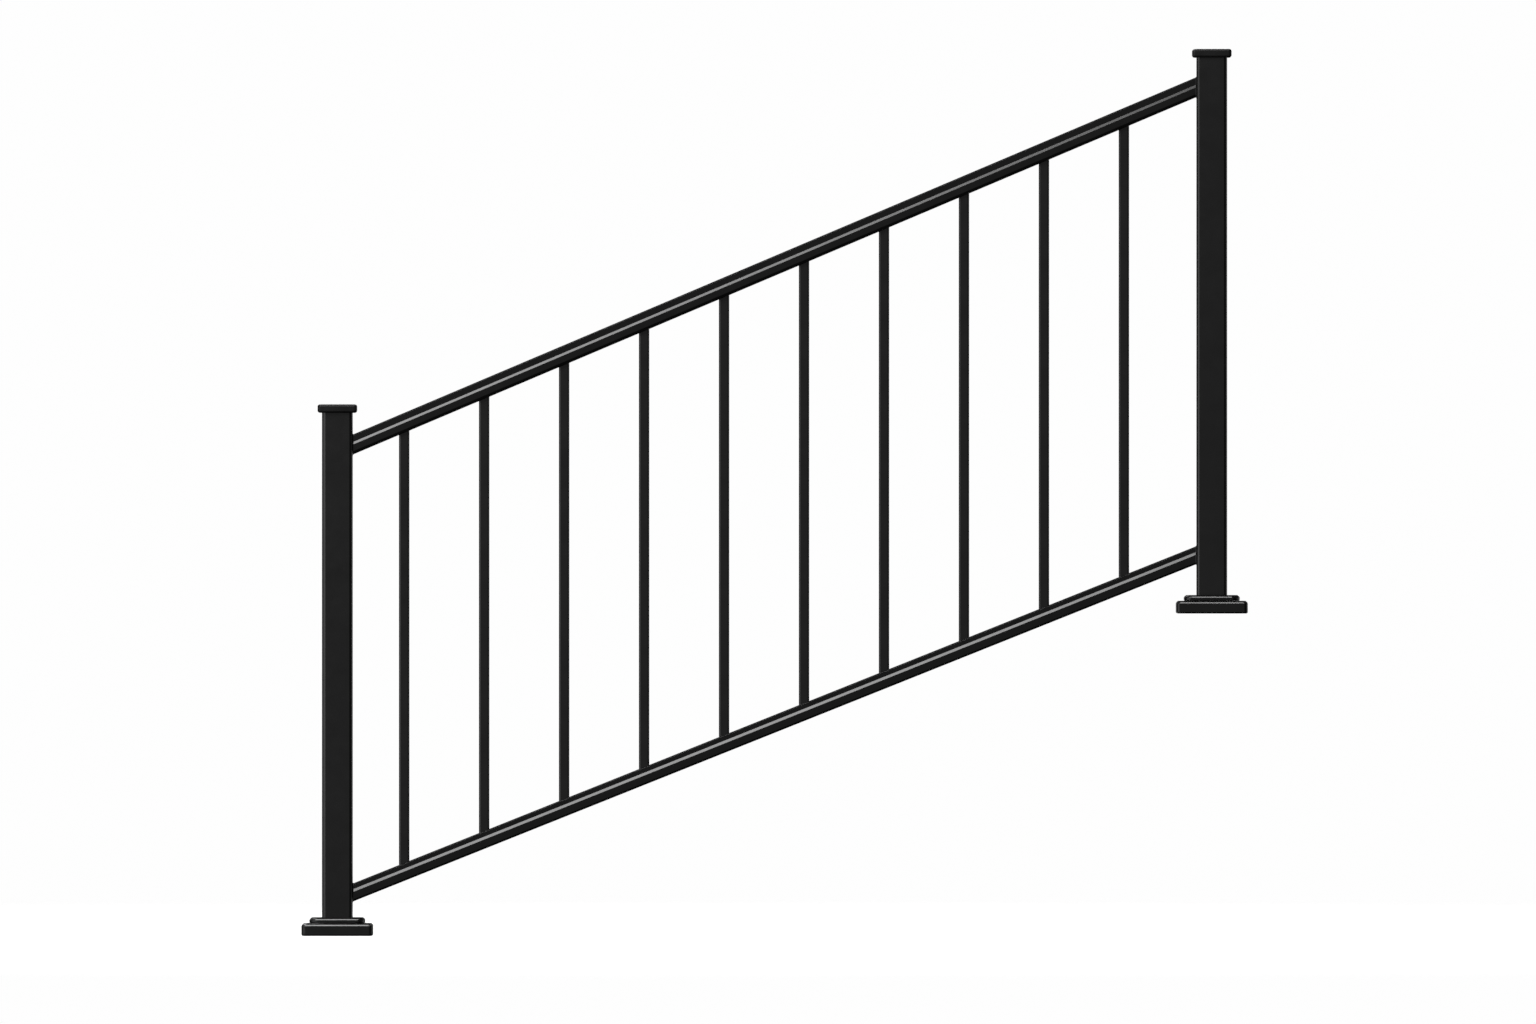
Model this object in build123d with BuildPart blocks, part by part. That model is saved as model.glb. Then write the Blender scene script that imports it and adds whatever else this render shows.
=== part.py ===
from build123d import *
import os

# Raked railing panel for the open side of a stair, in powder-coated steel.
# Two square posts stand on bolted feet at different levels. Two sloping hollow rails join them,
# and upright square balusters plug into sockets punched through the rails' facing walls.
# The origin is the middle of the low post's foot. X runs up the flight, Y across it, Z is up.
# All sizes are in millimetres.

# Layout
post_spacing = 1452.5  # level, between the posts' centres
foot_rise = 535.3  # the high post's foot above the low post's foot
low_post_height = 882.7  # from the foot to the top of the cap
high_post_height = 937.5
top_rail_drop_low = 67.0  # from the cap's top down to the rail's centreline, at the low post's face
top_rail_drop_high = 63.2
bottom_rail_lift_low = 71.6  # from the foot up to the rail's centreline, at the low post's face
bottom_rail_lift_high = 96.9

# Posts
post_width = 50.8
post_wall = 3.0
post_corner_radius = 6.35

# Post caps, cast, slipped over the tube's end
cap_overhang = 7.2  # beyond the post's face
cap_height = 14.2
cap_top_thickness = 5.0
cap_edge_radius = 4.0
cap_clearance = 0.3

# Base plates, welded under the posts
plate_margin = 25.4  # beyond the post's face
plate_thickness = 9.5
plate_corner_radius = 6.0
bolt_edge_distance = 12.7
bolt_hole_diameter = 11.1

# Base covers, stepped shells that hide the plates and the anchor bolts
cover_gap = 4.5  # between the plate's edge and the cover's wall
cover_wall = 4.0
cover_height = 21.0  # the wide lower step
collar_ledge = 13.05  # how far the upper step stands back
collar_height = 9.5
cover_rim_radius = 4.3
cover_foot_radius = 3.0
collar_rim_radius = 5.6
cover_clearance = 0.3

# Rails: a flat-sided body, a sloping shoulder above it and a narrower crown
rail_width = 38.1
rail_wall = 2.0
rail_crown_radius = 2.4
rail_shoulder_inset = 2.5  # how far the crown stands back from the body, on each side
top_rail_height = 30.7
top_rail_body_height = 14.7
top_rail_shoulder_height = 5.0
top_rail_body_radius = 6.0
bottom_rail_height = 27.9
bottom_rail_body_height = 14.2
bottom_rail_shoulder_height = 6.0
bottom_rail_body_radius = 4.0

# Balusters
baluster_count = 10
baluster_width = 17.3
baluster_wall = 1.5
baluster_corner_radius = 3.2
first_gap = 76.9  # clear, from the low post's face to the first baluster
last_gap = 111.9  # clear, from the last baluster to the high post's face
socket_clearance = 0.25

# Sizes that follow from those above
cap_width = post_width + 2 * cap_overhang
cap_pocket = post_width + 2 * cap_clearance
plate_width = post_width + 2 * plate_margin
bolt_spacing = plate_width - 2 * bolt_edge_distance
cover_width = plate_width + 2 * (cover_gap + cover_wall)
collar_width = cover_width - 2 * collar_ledge
cover_opening = post_width + 2 * cover_clearance
socket_width = baluster_width + 2 * socket_clearance

# Heights of the rails' centrelines where they meet the posts
low_face_x = post_width / 2
high_face_x = post_spacing - post_width / 2
top_rail_low_z = low_post_height - top_rail_drop_low
top_rail_high_z = foot_rise + high_post_height - top_rail_drop_high
bottom_rail_low_z = bottom_rail_lift_low
bottom_rail_high_z = foot_rise + bottom_rail_lift_high

# Places of the balusters along X, evenly pitched between the first and the last
first_baluster_x = low_face_x + first_gap + baluster_width / 2
last_baluster_x = high_face_x - last_gap - baluster_width / 2
baluster_pitch = (last_baluster_x - first_baluster_x) / (baluster_count - 1)
baluster_places = [first_baluster_x + i * baluster_pitch for i in range(baluster_count)]


def rail_height_at(x, low_z, high_z):
    """Height of a rail's centreline above the origin, at a place along X."""
    share = (x - low_face_x) / (high_face_x - low_face_x)
    return low_z + share * (high_z - low_z)


def build_post(post_x, foot_z, post_height):
    """A square tube that stands on its base plate and ends against the inside of its cap."""
    tube_length = post_height - plate_thickness - cap_top_thickness
    with BuildPart() as post:
        with BuildSketch(Plane((post_x, 0, foot_z + plate_thickness))):
            RectangleRounded(post_width, post_width, post_corner_radius)
            offset(amount=-post_wall, kind=Kind.INTERSECTION, mode=Mode.SUBTRACT)
        extrude(amount=tube_length)
    return post


def build_cap(post_x, post_top_z):
    """A flat cap with rounded edges and a square pocket for the tube's end."""
    underside = Plane((post_x, 0, post_top_z - cap_height))
    with BuildPart() as cap:
        with BuildSketch(underside):
            Rectangle(cap_width, cap_width)
        extrude(amount=cap_height)
        flat_faces = cap.faces().filter_by(Axis.Z)
        fillet(flat_faces.edges(), radius=cap_edge_radius)
        with BuildSketch(underside):
            RectangleRounded(cap_pocket, cap_pocket, post_corner_radius + cap_clearance)
        extrude(amount=cap_height - cap_top_thickness, mode=Mode.SUBTRACT)
    return cap


def build_base_plate(post_x, foot_z):
    """A flat plate with a bolt hole near each corner."""
    with BuildPart() as plate:
        with BuildSketch(Plane((post_x, 0, foot_z))):
            RectangleRounded(plate_width, plate_width, plate_corner_radius)
        extrude(amount=plate_thickness)
        with Locations(plate.faces().sort_by(Axis.Z)[-1]):
            with GridLocations(bolt_spacing, bolt_spacing, 2, 2):
                Hole(radius=bolt_hole_diameter / 2)
    return plate


def build_base_cover(post_x, foot_z):
    """A stepped shell, open underneath, with a square opening that the post passes through."""
    foot = Plane((post_x, 0, foot_z))
    full_height = cover_height + collar_height
    with BuildPart() as cover:
        with BuildSketch(foot):
            Rectangle(cover_width, cover_width)
        extrude(amount=cover_height)
        with BuildSketch(foot.offset(cover_height)):
            Rectangle(collar_width, collar_width)
        extrude(amount=collar_height)
        foot_face, ledge_face, top_face = cover.faces().filter_by(Axis.Z).sort_by(Axis.Z)
        ledge_edges = ledge_face.outer_wire().edges()
        top_edges = top_face.outer_wire().edges()
        fillet(foot_face.outer_wire().edges(), radius=cover_foot_radius)
        fillet(ledge_edges, radius=cover_rim_radius)
        fillet(top_edges, radius=collar_rim_radius)
        for step_width, ceiling in ((cover_width, cover_height), (collar_width, full_height)):
            inside = step_width - 2 * cover_wall
            with BuildSketch(foot):
                Rectangle(inside, inside)
            extrude(amount=ceiling - cover_wall, mode=Mode.SUBTRACT)
        with BuildSketch(foot):
            RectangleRounded(cover_opening, cover_opening, post_corner_radius + cover_clearance)
        extrude(amount=full_height, mode=Mode.SUBTRACT)
    return cover


def build_rail(low_z, high_z, height, body_height, shoulder_height, body_radius, socket_side):
    """A hollow rail with plumb-cut ends that butt on the posts, and a row of sockets for the balusters.

    socket_side is 1 where the balusters enter from above and -1 where they enter from below.
    """
    low_end = Vector(low_face_x, 0, low_z)
    high_end = Vector(high_face_x, 0, high_z)
    along = (high_end - low_end).normalized()
    # The blank runs one rail height past each end, and the plumb cuts take that off
    section = Plane(origin=low_end - along * height, x_dir=(0, 1, 0), z_dir=along)
    body_half = rail_width / 2
    crown_half = body_half - rail_shoulder_inset
    shoulder_foot = body_height - height / 2
    right_side = [
        (body_half, -height / 2),
        (body_half, shoulder_foot),
        (crown_half, shoulder_foot + shoulder_height),
        (crown_half, height / 2),
    ]
    left_side = [(-across, up) for across, up in reversed(right_side)]
    with BuildPart() as rail:
        with BuildSketch(section) as profile:
            with BuildLine():
                Polyline(*right_side, *left_side, close=True)
            make_face()
            fillet(profile.vertices().group_by(Axis.Y)[0], radius=body_radius)
            fillet(profile.vertices().group_by(Axis.Y)[-1], radius=rail_crown_radius)
            offset(amount=-rail_wall, kind=Kind.INTERSECTION, mode=Mode.SUBTRACT)
        extrude(amount=(high_end - low_end).length + 2 * height)
        split(bisect_by=Plane(low_end, z_dir=(1, 0, 0)), keep=Keep.TOP)
        split(bisect_by=Plane(high_end, z_dir=(1, 0, 0)), keep=Keep.BOTTOM)
        sockets = [Plane((x, 0, rail_height_at(x, low_z, high_z))) for x in baluster_places]
        with BuildSketch(*sockets):
            RectangleRounded(socket_width, socket_width, baluster_corner_radius + socket_clearance)
        extrude(amount=socket_side * height, mode=Mode.SUBTRACT)
    return rail


def build_baluster(x):
    """An upright square tube that reaches from one rail's centreline to the other's."""
    low_z = rail_height_at(x, bottom_rail_low_z, bottom_rail_high_z)
    high_z = rail_height_at(x, top_rail_low_z, top_rail_high_z)
    with BuildPart() as baluster:
        with BuildSketch(Plane((x, 0, low_z))):
            RectangleRounded(baluster_width, baluster_width, baluster_corner_radius)
            offset(amount=-baluster_wall, kind=Kind.INTERSECTION, mode=Mode.SUBTRACT)
        extrude(amount=high_z - low_z)
    return baluster


def save(piece, name):
    """Names a finished piece and writes it to a file of its own."""
    piece.part.label = name
    export_step(piece.part, f"parts/{name}.step")


os.makedirs("parts", exist_ok=True)

posts = (("low", 0, 0, low_post_height), ("high", post_spacing, foot_rise, high_post_height))
for place, post_x, foot_z, post_height in posts:
    save(build_post(post_x, foot_z, post_height), f"{place}_post")
    save(build_cap(post_x, foot_z + post_height), f"{place}_post_cap")
    save(build_base_plate(post_x, foot_z), f"{place}_base_plate")
    save(build_base_cover(post_x, foot_z), f"{place}_base_cover")

top_rail = build_rail(
    top_rail_low_z,
    top_rail_high_z,
    top_rail_height,
    top_rail_body_height,
    top_rail_shoulder_height,
    top_rail_body_radius,
    socket_side=-1,
)
save(top_rail, "top_rail")

bottom_rail = build_rail(
    bottom_rail_low_z,
    bottom_rail_high_z,
    bottom_rail_height,
    bottom_rail_body_height,
    bottom_rail_shoulder_height,
    bottom_rail_body_radius,
    socket_side=1,
)
save(bottom_rail, "bottom_rail")

for number, x in enumerate(baluster_places, start=1):
    save(build_baluster(x), f"baluster_{number:02d}")
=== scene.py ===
import math

import bpy
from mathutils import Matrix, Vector
from numpy import interp


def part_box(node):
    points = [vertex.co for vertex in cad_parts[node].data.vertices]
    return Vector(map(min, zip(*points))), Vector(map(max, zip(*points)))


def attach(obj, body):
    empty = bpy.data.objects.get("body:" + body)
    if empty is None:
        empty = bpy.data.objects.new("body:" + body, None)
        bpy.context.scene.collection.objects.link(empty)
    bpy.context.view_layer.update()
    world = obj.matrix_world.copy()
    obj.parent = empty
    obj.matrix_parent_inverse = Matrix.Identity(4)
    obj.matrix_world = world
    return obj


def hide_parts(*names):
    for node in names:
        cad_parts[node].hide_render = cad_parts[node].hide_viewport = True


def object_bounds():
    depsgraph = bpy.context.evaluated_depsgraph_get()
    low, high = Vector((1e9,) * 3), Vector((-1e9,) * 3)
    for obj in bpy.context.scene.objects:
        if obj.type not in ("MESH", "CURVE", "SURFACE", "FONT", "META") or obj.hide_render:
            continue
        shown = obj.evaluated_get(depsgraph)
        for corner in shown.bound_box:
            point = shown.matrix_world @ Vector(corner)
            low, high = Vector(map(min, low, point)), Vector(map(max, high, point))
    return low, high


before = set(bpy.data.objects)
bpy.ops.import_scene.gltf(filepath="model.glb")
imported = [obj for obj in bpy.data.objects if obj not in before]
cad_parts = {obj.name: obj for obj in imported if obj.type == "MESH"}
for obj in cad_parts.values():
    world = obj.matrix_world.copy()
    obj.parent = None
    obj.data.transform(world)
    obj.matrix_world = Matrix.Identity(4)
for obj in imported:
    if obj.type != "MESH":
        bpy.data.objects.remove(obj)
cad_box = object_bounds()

# Raked railing panel for the open side of a stair, in black powder-coated steel.
# X runs up the flight, Y across it, Z is up. Sizes are in metres.
mm = 0.001

# Tubes
post_wall = 3.0 * mm
post_corner = 6.35 * mm
baluster_wall = 1.5 * mm
baluster_corner = 3.2 * mm
socket_clearance = 0.25 * mm
slip_clearance = 0.3 * mm

# Caps
cap_top = 5.0 * mm
cap_edge = 4.0 * mm
cap_corner = 5.0 * mm

# Base covers: each step has a steep bevel, and a flatter one above it.
# A bevel's corners are (back, drop) pairs, in millimetres from the wall and from the step's top
cover_wall = 4.0 * mm
cover_step = 21.0 * mm
cover_foot = 3.0 * mm
cover_corner = 7.0 * mm
cover_bevels = ((0.0, 4.4), (1.0, 2.2), (3.6, 0.0))
collar_ledge = 13.05 * mm
collar_corner = 14.0 * mm
collar_bevels = ((0.0, 4.2), (0.8, 2.5), (3.8, 0.0))
bevel_edge = 0.8 * mm
quirk = 0.9 * mm  # depth of the groove where the upper step rises
quirk_corner = 0.2 * mm

# Rails
rail_wall = 2.0 * mm
rail_inset = 1.8 * mm  # how far the crown stands back from the body, on each side
rail_bevel = 1.6 * mm  # along the crown's edges
rail_edge = 0.4 * mm
weld_leg = 1.6 * mm
weld_hollow = 0.4 * weld_leg  # how far the middle of its hollow face stands off the rail and the post
fitting_rounds = 20
top_rail_section = {"height": 30.7 * mm, "body": 15.3 * mm, "shoulder": 3.7 * mm, "under": 6.0 * mm}
bottom_rail_section = {"height": 27.9 * mm, "body": 14.8 * mm, "shoulder": 4.2 * mm, "under": 4.0 * mm}

# Fineness of the roundings, and the bend above which an edge stays sharp
arc_steps = 8
smallest_corner = 0.4 * mm
sharp_bend = math.radians(35)

# Coat: scale and detail of each noise, the noises' usual range, and the orange peel's depth
mottling_noise = (22, 3)
gloss_noise = (60, 4)
peel_noise = (650, 2)
noise_range = (0.35, 0.65)
peel_depth = 0.1 * mm

# Floor
floor_radius = 6.0
floor_sides = 128
floor_grey = 0.6
floor_glow = 0.75
floor_fade = (0.3 * floor_radius, 0.95 * floor_radius)  # where it starts to thin out, and where it is gone

# Surround: what the camera sees, and the glow that the coat reflects.
# Each pair is where a glow starts and where it is full, on one axis of a unit direction
backdrop_grey = 0.99
fill = 0.28  # straight in front, behind and at both ends
left_glow = 0.38  # above and below, on the low post's side
right_glow = 0.08
ahead = (0.88, 0.96)
abreast = (0.93, 0.98)
sideways = (0.15, 0.45)
off_level = (0.08, 0.30)

# Soft lights: name, place, aim, width and height, radiance.
# The keys draw the bright lines on shoulders and rims, the panels those on the uprights' corners
watts_per_radiance = 4  # for each square metre of a light
middle = (cad_box[0] + cad_box[1]) / 2
softboxes = (
    ("key", (-1.04, -3.19, 3.76), middle, (3.0, 1.95), 10.5),
    ("top_key", (-0.50, -2.20, 4.83), middle, (2.6, 1.2), 1.6),
    ("high_key", (1.45, -2.95, 4.60), middle, (0.9, 1.3), 11.5),
    ("left_panel", (-2.61, -2.56, 0.75), (0.00, 0.00, 0.75), (4.1, 1.9), 1.1),
    ("back_key", (0.20, 3.30, 3.90), middle, (3.2, 2.0), 5.0),
    ("back_panel", (4.06, 2.56, 0.75), (1.45, 0.00, 0.75), (4.1, 1.9), 0.7),
)

# Camera, and the photograph's frame where the panel stands
camera_distance = 60.0
sensor_width = 36
view_width = 2.5516
view_middle_x = 0.7153
view_middle_z = 0.7038

baluster_names = sorted(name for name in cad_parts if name.startswith("baluster"))


# Outlines and skins

def rounded_outline(corners, closed=True):
    """Points along an outline of (across, up, radius) corners, which runs anticlockwise round the solid.

    An open outline keeps its first and last corners as plain points.
    """
    points = []
    for i, (across, up, radius) in enumerate(corners):
        here = Vector((across, up))
        if not closed and i in (0, len(corners) - 1):
            points.append((across, up))
            continue
        before = (Vector(corners[i - 1][:2]) - here).normalized()
        after = (Vector(corners[(i + 1) % len(corners)][:2]) - here).normalized()
        half_angle = before.angle(after) / 2
        centre = here + (before + after).normalized() * radius / math.sin(half_angle)
        start = here + before * radius / math.tan(half_angle) - centre
        end = here + after * radius / math.tan(half_angle) - centre
        first = math.atan2(start.y, start.x)
        turn = math.remainder(math.atan2(end.y, end.x) - first, math.tau)
        for step in range(arc_steps + 1):
            angle = first + turn * step / arc_steps
            points.append((centre.x + radius * math.cos(angle), centre.y + radius * math.sin(angle)))
    return points


def inset(corners, distance):
    """The outline moved inwards, or outwards where distance is negative, with its roundings concentric."""
    moved = []
    for i, (across, up, radius) in enumerate(corners):
        here = Vector((across, up))
        arriving = (here - Vector(corners[i - 1][:2])).normalized()
        leaving = (Vector(corners[(i + 1) % len(corners)][:2]) - here).normalized()
        inward = Vector((-arriving.y - leaving.y, arriving.x + leaving.x))
        place = here + inward * distance / (1 + arriving.dot(leaving))
        bend = 1 if arriving.cross(leaving) > 0 else -1
        moved.append((place.x, place.y, max(radius - bend * distance, smallest_corner)))
    return moved


def square_ring(centre, half, corner, z):
    """A level ring of points round a rounded square."""
    places = ((half, -half), (half, half), (-half, half), (-half, -half))
    outline = rounded_outline([(x, y, corner) for x, y in places])
    return [(centre.x + x, centre.y + y, z) for x, y in outline]


def swept_rings(centre, outline, plan_corners):
    """Rings that carry an outline of (half width, height) points round a square.

    plan_corners are (half width, corner radius) pairs, widest last, and the radius runs evenly between them.
    """
    widths, radii = zip(*plan_corners)
    return [square_ring(centre, half, interp(half, widths, radii), z) for half, z in outline]


def skin(rings, closed):
    """Points and faces that join each ring to the next. An open stack of rings gets a lid at both ends."""
    count = len(rings[0])
    points = [point for ring in rings for point in ring]
    faces = []
    for i in range(len(rings) if closed else len(rings) - 1):
        this = i * count
        following = (i + 1) % len(rings) * count
        for j in range(count):
            k = (j + 1) % count
            faces.append((this + j, this + k, following + k, following + j))
    if not closed:
        faces.append(tuple(reversed(range(count))))
        faces.append(tuple(range(len(points) - count, len(points))))
    return points, faces


def new_object(name, points, faces):
    """A mesh object in the scene."""
    mesh = bpy.data.meshes.new(name)
    mesh.from_pydata(points, [], faces)
    made = bpy.data.objects.new(name, mesh)
    bpy.context.scene.collection.objects.link(made)
    return made


def finish_piece(piece, material, node=None):
    """Smooth shading that keeps the flats flat, the material, and the piece's place on the body."""
    piece.data.materials.clear()
    piece.data.materials.append(material)
    piece.data.shade_smooth()
    piece.data.set_sharp_from_angle(angle=sharp_bend)
    flats = piece.modifiers.new("flats", "WEIGHTED_NORMAL")
    flats.keep_sharp = True
    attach(piece, "root")
    if node:
        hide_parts(node)


# Pieces

def square_place(node):
    """Centre, half width, lowest and highest height of a square upright node."""
    low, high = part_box(node)
    return (low + high) / 2, (high.x - low.x) / 2, low.z, high.z


def build_tube(node, wall, corner, material):
    """A post or a baluster: an upright square tube."""
    centre, half, bottom, top = square_place(node)
    rings = [
        square_ring(centre, half, corner, bottom),
        square_ring(centre, half, corner, top),
        square_ring(centre, half - wall, corner - wall, top),
        square_ring(centre, half - wall, corner - wall, bottom),
    ]
    piece = new_object(f"{node}_tube", *skin(rings, closed=True))
    finish_piece(piece, material, node)


def build_cap(node, post_node, material):
    """A flat cap with eased edges and a pocket for the post's end."""
    centre, half, bottom, top = square_place(node)
    pocket = square_place(post_node)[1] + slip_clearance
    outline = rounded_outline([
        (pocket, top - cap_top, 0),
        (pocket, bottom, smallest_corner),
        (half, bottom, cap_edge),
        (half, top, cap_edge),
        (pocket, top, 0),
    ], closed=False)
    rings = swept_rings(centre, outline, ((pocket, post_corner + slip_clearance), (half, cap_corner)))
    piece = new_object(f"{node}_shell", *skin(rings, closed=False))
    finish_piece(piece, material, node)


def build_cover(node, post_node, material):
    """A stepped shell, open underneath, round the post's foot, with a quirk where the upper step rises."""
    centre, half, bottom, top = square_place(node)
    ledge = bottom + cover_step
    collar = half - collar_ledge
    opening = square_place(post_node)[1] + slip_clearance
    outline = rounded_outline([
        (half, bottom, cover_foot),
        *((half - back * mm, ledge - drop * mm, bevel_edge) for back, drop in cover_bevels),
        (collar, ledge, quirk_corner),
        (collar - quirk, ledge + quirk, quirk_corner),
        (collar, ledge + 2 * quirk, quirk_corner),
        *((collar - back * mm, top - drop * mm, bevel_edge) for back, drop in collar_bevels),
        (opening, top, smallest_corner),
        (opening, top - cover_wall, smallest_corner),
        (collar - cover_wall, top - cover_wall, smallest_corner),
        (collar - cover_wall, ledge - cover_wall, smallest_corner),
        (half - cover_wall, ledge - cover_wall, smallest_corner),
        (half - cover_wall, bottom, smallest_corner),
    ])
    plan_corners = ((opening, post_corner + slip_clearance), (collar, collar_corner), (half, cover_corner))
    rings = swept_rings(centre, outline, plan_corners)
    piece = new_object(f"{node}_shell", *skin(rings, closed=True))
    finish_piece(piece, material, node)


def rail_corners(half, section):
    """Corners of a rail's outer outline: a body, a sloping shoulder and a narrower crown."""
    bottom = -section["height"] / 2
    foot = bottom + section["body"]
    crown_half = half - rail_inset
    right = [
        (half, bottom, section["under"]),
        (half, foot, rail_edge),
        (crown_half, foot + section["shoulder"], rail_edge),
        (crown_half, -bottom - rail_bevel, rail_edge),
        (crown_half - rail_bevel, -bottom, rail_edge),
    ]
    left = [(-across, up, radius) for across, up, radius in reversed(right)]
    return right + left


def build_rail(node, section, socket_side, material):
    """A hollow raked rail with plumb ends, sockets for the balusters and a weld round each end.

    socket_side is 1 where the balusters enter from above and -1 where they enter from below.
    """
    low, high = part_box(node)
    span = high.x - low.x
    # The box holds the rise and the rail's plumb height, which grows with the rise, so rounds settle both
    plumb_half = section["height"] / 2
    for _ in range(fitting_rounds):
        rise = high.z - low.z - 2 * plumb_half
        stretch = math.hypot(span, rise) / span
        plumb_half = stretch * section["height"] / 2

    def height_at(x):
        return low.z + plumb_half + (x - low.x) * rise / span

    def ring_at(x, corners):
        return [(x, across, height_at(x) + up * stretch) for across, up in rounded_outline(corners)]

    outer = rail_corners((high.y - low.y) / 2, section)
    inner = inset(outer, rail_wall)
    rings = [ring_at(low.x, outer), ring_at(high.x, outer), ring_at(high.x, inner), ring_at(low.x, inner)]
    piece = new_object(f"{node}_tube", *skin(rings, closed=True))

    socket_points = []
    socket_faces = []
    for name in baluster_names:
        centre, half, _, _ = square_place(name)
        ends = sorted((height_at(centre.x), height_at(centre.x) + socket_side * section["height"]))
        corner = baluster_corner + socket_clearance
        cut_rings = [square_ring(centre, half + socket_clearance, corner, z) for z in ends]
        points, faces = skin(cut_rings, closed=False)
        socket_faces.extend(tuple(i + len(socket_points) for i in face) for face in faces)
        socket_points.extend(points)
    cutter = new_object(f"{node}_sockets", socket_points, socket_faces)
    cut = piece.modifiers.new("sockets", "BOOLEAN")
    cut.object = cutter
    cut.operation = "DIFFERENCE"
    cut.solver = "EXACT"
    evaluated = piece.evaluated_get(bpy.context.evaluated_depsgraph_get())
    piece.data = bpy.data.meshes.new_from_object(evaluated)
    piece.modifiers.clear()
    bpy.data.objects.remove(cutter)
    finish_piece(piece, material, node)

    proud = inset(outer, -weld_leg)
    hollow = inset(outer, -weld_hollow)
    for end, x, along in (("low", low.x, 1), ("high", high.x, -1)):
        rings = [
            ring_at(x, outer),
            ring_at(x, proud),
            ring_at(x + along * weld_hollow, hollow),
            ring_at(x + along * weld_leg, outer),
        ]
        weld = new_object(f"{node}_{end}_weld", *skin(rings[::along], closed=True))
        finish_piece(weld, material)


# Materials

def coat(name, colours, roughness, peel, shine):
    """Black powder coat: faint mottling between two greys, uneven gloss and a fine orange peel.

    peel is the strength of the bump and shine that of the reflections.
    """
    material = bpy.data.materials.new(name)
    material.use_nodes = True
    tree = material.node_tree
    shader = tree.nodes["Principled BSDF"]
    shader.inputs["Specular IOR Level"].default_value = shine
    place = tree.nodes.new("ShaderNodeTexCoord")

    def noise(scale, detail):
        texture = tree.nodes.new("ShaderNodeTexNoise")
        texture.inputs["Scale"].default_value = scale
        texture.inputs["Detail"].default_value = detail
        tree.links.new(place.outputs["Object"], texture.inputs["Vector"])
        return texture.outputs["Fac"]

    mottling = tree.nodes.new("ShaderNodeValToRGB")
    for element, position, grey in zip(mottling.color_ramp.elements, noise_range, colours):
        element.position = position
        element.color = (grey, grey, grey, 1)
    tree.links.new(noise(*mottling_noise), mottling.inputs["Fac"])
    tree.links.new(mottling.outputs["Color"], shader.inputs["Base Color"])

    unevenness = tree.nodes.new("ShaderNodeMapRange")
    unevenness.inputs["From Min"].default_value, unevenness.inputs["From Max"].default_value = noise_range
    unevenness.inputs["To Min"].default_value, unevenness.inputs["To Max"].default_value = roughness
    tree.links.new(noise(*gloss_noise), unevenness.inputs["Value"])
    tree.links.new(unevenness.outputs["Result"], shader.inputs["Roughness"])

    bump = tree.nodes.new("ShaderNodeBump")
    bump.inputs["Strength"].default_value = peel
    bump.inputs["Distance"].default_value = peel_depth
    tree.links.new(noise(*peel_noise), bump.inputs["Height"])
    tree.links.new(bump.outputs["Normal"], shader.inputs["Normal"])
    return material


post_coat = coat("post_coat", (0.0015, 0.0030), (0.20, 0.24), peel=0.20, shine=0.5)
rail_coat = coat("rail_coat", (0.0008, 0.0020), (0.22, 0.25), peel=0.20, shine=0.35)
cover_coat = coat("cover_coat", (0.0015, 0.0030), (0.22, 0.25), peel=0.20, shine=0.42)
cap_coat = coat("cap_coat", (0.0040, 0.0065), (0.36, 0.42), peel=0.20, shine=0.15)
plate_coat = coat("plate_coat", (0.0040, 0.0090), (0.45, 0.60), peel=0.20, shine=0.5)


# Panel

for end in ("low", "high"):
    build_tube(f"{end}_post", post_wall, post_corner, post_coat)
    build_cap(f"{end}_post_cap", f"{end}_post", cap_coat)
    build_cover(f"{end}_base_cover", f"{end}_post", cover_coat)
    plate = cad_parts[f"{end}_base_plate"]
    plate.data.materials.clear()
    plate.data.materials.append(plate_coat)
build_rail("top_rail", top_rail_section, -1, rail_coat)
build_rail("bottom_rail", bottom_rail_section, 1, rail_coat)
for baluster in baluster_names:
    build_tube(baluster, baluster_wall, baluster_corner, post_coat)


# Studio

def graded(tree, value, start, end, low, high):
    """A value that runs smoothly from low, where another is at start, to high, where that is at end."""
    ramp = tree.nodes.new("ShaderNodeMapRange")
    ramp.interpolation_type = "SMOOTHSTEP"
    for socket, level in (("From Min", start), ("From Max", end), ("To Min", low), ("To Max", high)):
        ramp.inputs[socket].default_value = level
    tree.links.new(value, ramp.inputs["Value"])
    return ramp.outputs["Result"]


def combined(tree, operation, *values):
    """Values put together by one arithmetic operation."""
    step = tree.nodes.new("ShaderNodeMath")
    step.operation = operation
    for socket, value in zip(step.inputs, values):
        tree.links.new(value, socket)
    return step.outputs["Value"]


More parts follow.
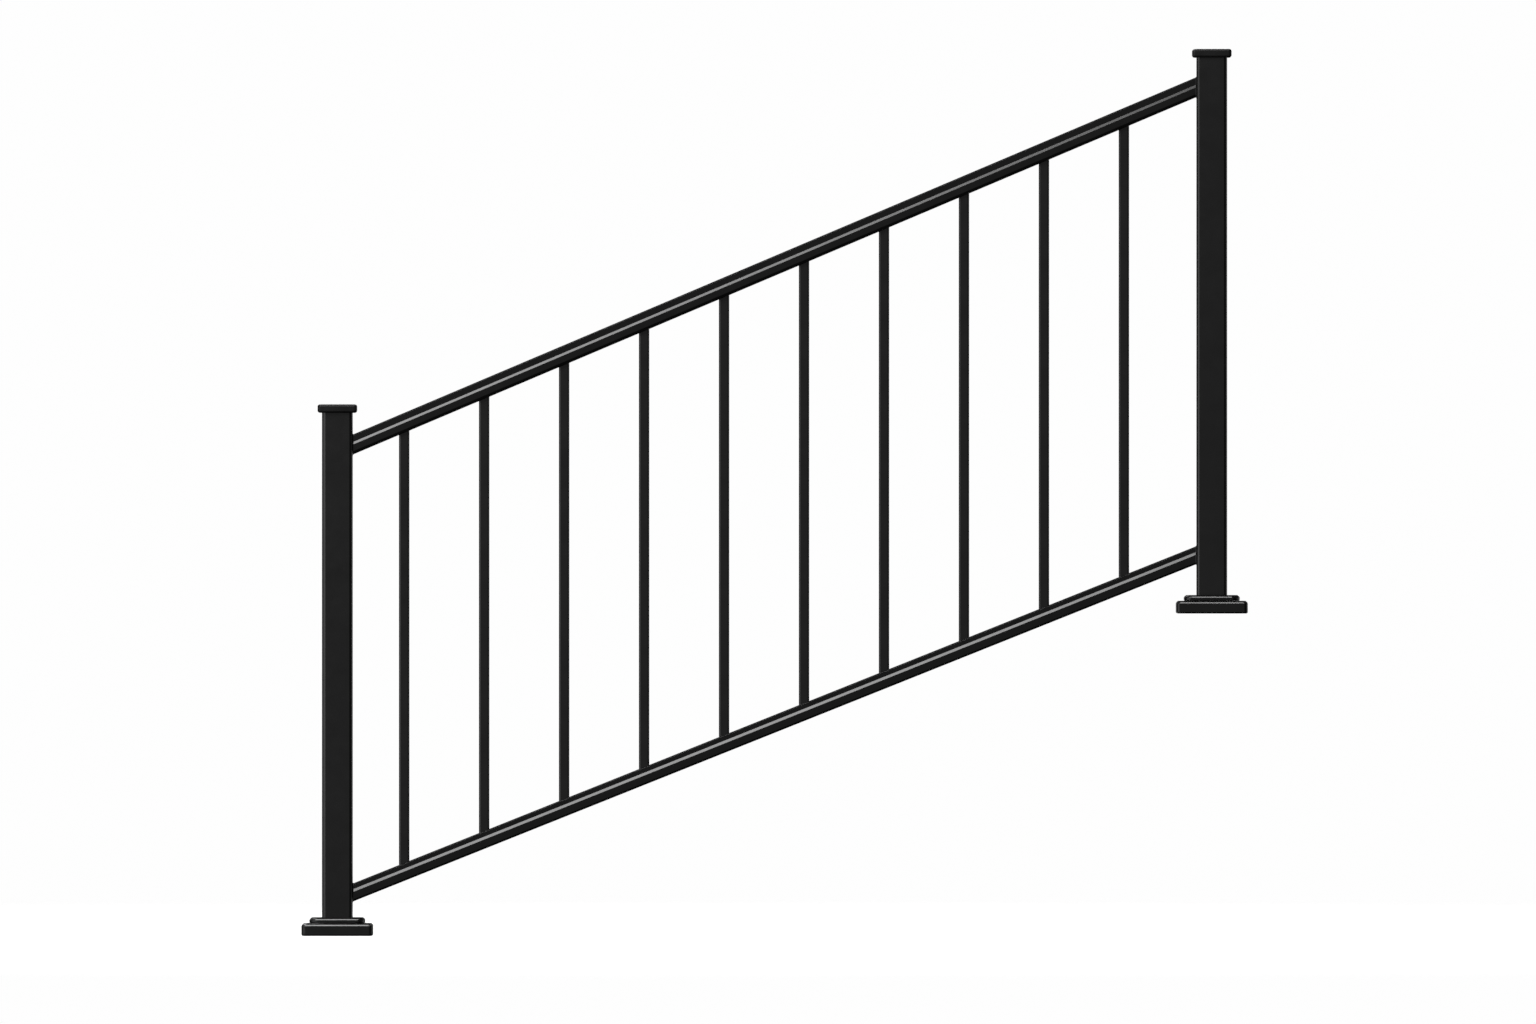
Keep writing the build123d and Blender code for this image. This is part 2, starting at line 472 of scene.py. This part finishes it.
def add_floor(level):
    """A pale round floor that fades out into the surround."""
    points = []
    for i in range(floor_sides):
        angle = math.tau * i / floor_sides
        x = middle.x + floor_radius * math.cos(angle)
        points.append((x, floor_radius * math.sin(angle), level))
    floor = new_object("floor", points, [tuple(range(floor_sides))])
    floor.visible_glossy = False
    floor.visible_diffuse = False
    floor.visible_shadow = False

    pale = bpy.data.materials.new("pale_floor")
    pale.use_nodes = True
    tree = pale.node_tree
    shader = tree.nodes["Principled BSDF"]
    shader.inputs["Base Color"].default_value = (floor_grey, floor_grey, floor_grey, 1)
    shader.inputs["Roughness"].default_value = 1.0
    shader.inputs["Specular IOR Level"].default_value = 0.0
    shader.inputs["Emission Color"].default_value = (1, 1, 1, 1)
    shader.inputs["Emission Strength"].default_value = floor_glow
    place = tree.nodes.new("ShaderNodeTexCoord")
    reach = tree.nodes.new("ShaderNodeVectorMath")
    reach.operation = "DISTANCE"
    reach.inputs[1].default_value = (middle.x, 0, level)
    tree.links.new(place.outputs["Object"], reach.inputs[0])
    fade = graded(tree, reach.outputs["Value"], *floor_fade, 1, 0)
    tree.links.new(fade, shader.inputs["Alpha"])
    floor.data.materials.append(pale)


def add_surround():
    """White to the camera. Reflections meet a faint glow, away from what the front view's edges mirror."""
    world = bpy.data.worlds.new("surround")
    bpy.context.scene.world = world
    world.use_nodes = True
    tree = world.node_tree
    glow = tree.nodes["Background"]
    glow.inputs["Color"].default_value = (1, 1, 1, 1)
    direction = tree.nodes.new("ShaderNodeTexCoord")
    parts = tree.nodes.new("ShaderNodeSeparateXYZ")
    tree.links.new(direction.outputs["Generated"], parts.inputs["Vector"])
    start, full = sideways
    left = graded(tree, parts.outputs["X"], -start, -full, 0, left_glow)
    right = graded(tree, parts.outputs["X"], start, full, 0, right_glow)
    across, outward, upward = (combined(tree, "ABSOLUTE", parts.outputs[axis]) for axis in "XYZ")
    slanting = graded(tree, upward, *off_level, 0, 1)
    sides = combined(tree, "MULTIPLY", combined(tree, "ADD", left, right), slanting)
    faces = graded(tree, outward, *ahead, 0, fill)
    ends = graded(tree, across, *abreast, 0, fill)
    strength = combined(tree, "ADD", sides, combined(tree, "ADD", faces, ends))
    tree.links.new(strength, glow.inputs["Strength"])

    white = tree.nodes.new("ShaderNodeBackground")
    white.inputs["Color"].default_value = (backdrop_grey, backdrop_grey, backdrop_grey, 1)
    rays = tree.nodes.new("ShaderNodeLightPath")
    choose = tree.nodes.new("ShaderNodeMixShader")
    tree.links.new(rays.outputs["Is Camera Ray"], choose.inputs["Fac"])
    tree.links.new(glow.outputs["Background"], choose.inputs[1])
    tree.links.new(white.outputs["Background"], choose.inputs[2])
    tree.links.new(choose.outputs["Shader"], tree.nodes["World Output"].inputs["Surface"])


def add_softbox(name, place, aim, size, radiance):
    """A soft rectangular light that faces aim."""
    light = bpy.data.lights.new(name, "AREA")
    light.shape = "RECTANGLE"
    light.size, light.size_y = size
    light.energy = watts_per_radiance * radiance * light.size * light.size_y
    lamp = bpy.data.objects.new(name, light)
    lamp.location = place
    lamp.rotation_mode = "QUATERNION"
    lamp.rotation_quaternion = (Vector(place) - Vector(aim)).to_track_quat("Z", "Y")
    lamp.visible_camera = False
    bpy.context.scene.collection.objects.link(lamp)


def add_camera():
    """A distant level camera, so that the view is close to an elevation."""
    data = bpy.data.cameras.new("camera")
    data.sensor_width = sensor_width
    data.lens = sensor_width * camera_distance / view_width
    data.clip_end = 2 * camera_distance
    camera = bpy.data.objects.new("camera", data)
    camera.location = (view_middle_x, -camera_distance, view_middle_z)
    camera.rotation_euler = (math.radians(90), 0, 0)
    bpy.context.scene.collection.objects.link(camera)
    bpy.context.scene.camera = camera


add_floor(cad_box[0].z)
add_surround()
for softbox in softboxes:
    add_softbox(*softbox)
add_camera()
bpy.context.scene.view_settings.view_transform = "Standard"
